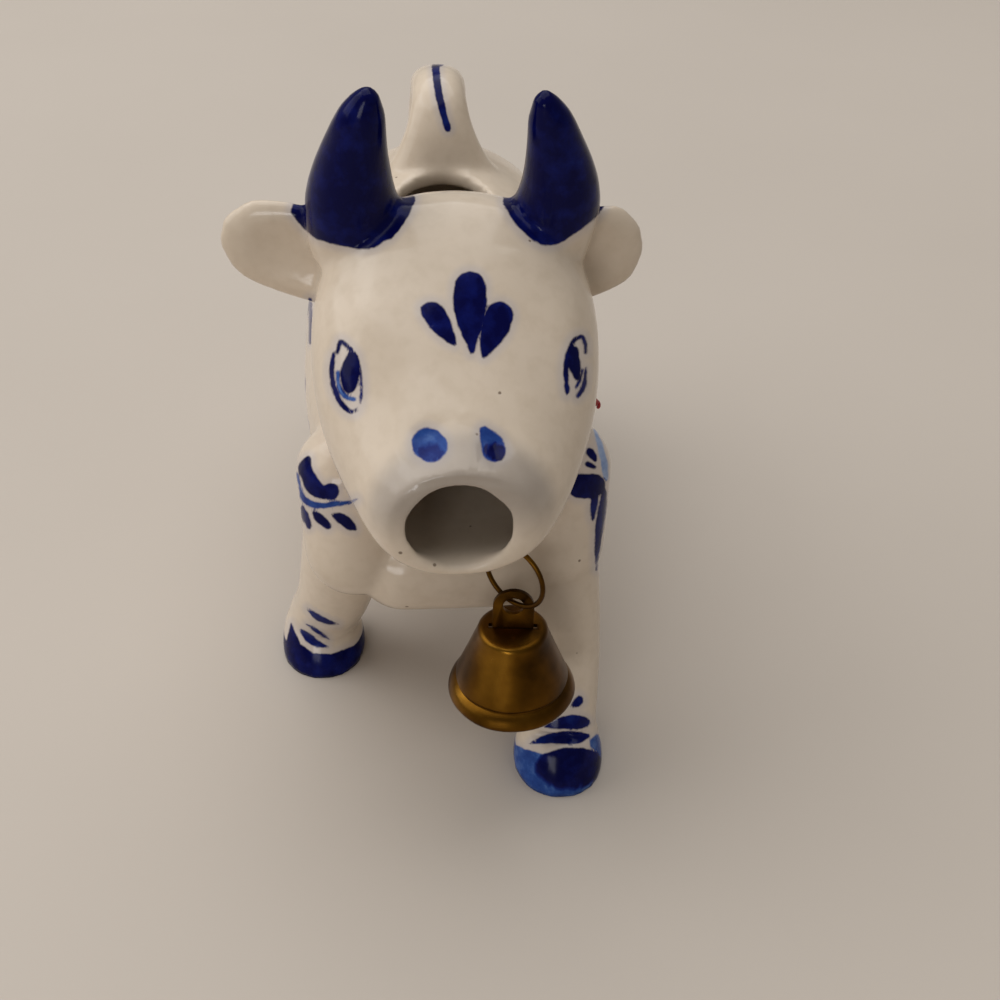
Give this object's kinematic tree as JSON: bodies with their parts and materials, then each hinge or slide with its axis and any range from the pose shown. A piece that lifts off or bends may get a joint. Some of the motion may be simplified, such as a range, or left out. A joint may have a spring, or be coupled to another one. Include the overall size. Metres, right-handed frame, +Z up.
{
  "type": "cow creamer",
  "caption": "Standing cow cream jug in hand-painted glazed earthenware: filled through the back, poured through the open mouth, tail for a handle, brass bell hung on the neck.",
  "frame": {"origin": "on the ground under the middle of the creamer's outline", "axes": "+Z up from the hooves, -Y the way the cow faces and pours, +X the cow's left"},
  "size_m": [0.0635, 0.1369, 0.1159],
  "materials": {
    "tin_glazed_earthenware": "gloss",
    "cobalt_glaze": "gloss",
    "red_cord": "satin",
    "aged_brass": "aged, satin"
  },
  "bodies": {
    "creamer": {"body_casting": "tin_glazed_earthenware", "front_left_leg": "tin_glazed_earthenware", "front_right_leg": "tin_glazed_earthenware", "hind_left_leg": "tin_glazed_earthenware", "hind_right_leg": "tin_glazed_earthenware", "left_horn": "cobalt_glaze", "right_horn": "cobalt_glaze", "left_ear": "tin_glazed_earthenware", "right_ear": "tin_glazed_earthenware", "tail_handle": "tin_glazed_earthenware", "udder": "tin_glazed_earthenware", "neck_cord": "red_cord"},
    "ring": {"bell_ring": "aged_brass"},
    "bell": {"bell_shell": "aged_brass", "bell_lug": "aged_brass"},
    "clapper": {"clapper_wire": "aged_brass", "clapper_ball": "aged_brass"}
  },
  "joints": [
    {"name": "ring_swing", "type": "hinge", "parent": "creamer", "child": "ring", "pos_m": [0.0106, -0.0579, 0.0525], "axis": [1, 0, 0], "range_deg": [-50, 4]},
    {"name": "bell_swing", "type": "hinge", "parent": "ring", "child": "bell", "pos_m": [0.0106, -0.0579, 0.04305], "axis": [0.7431, -0.6691, 0], "range_deg": [-40, 6]},
    {"name": "clapper_swing", "type": "hinge", "parent": "bell", "child": "clapper", "pos_m": [0.0106, -0.0579, 0.03435], "axis": [0.0785, 0.9969, 0], "range_deg": [-42, 42]}
  ]
}
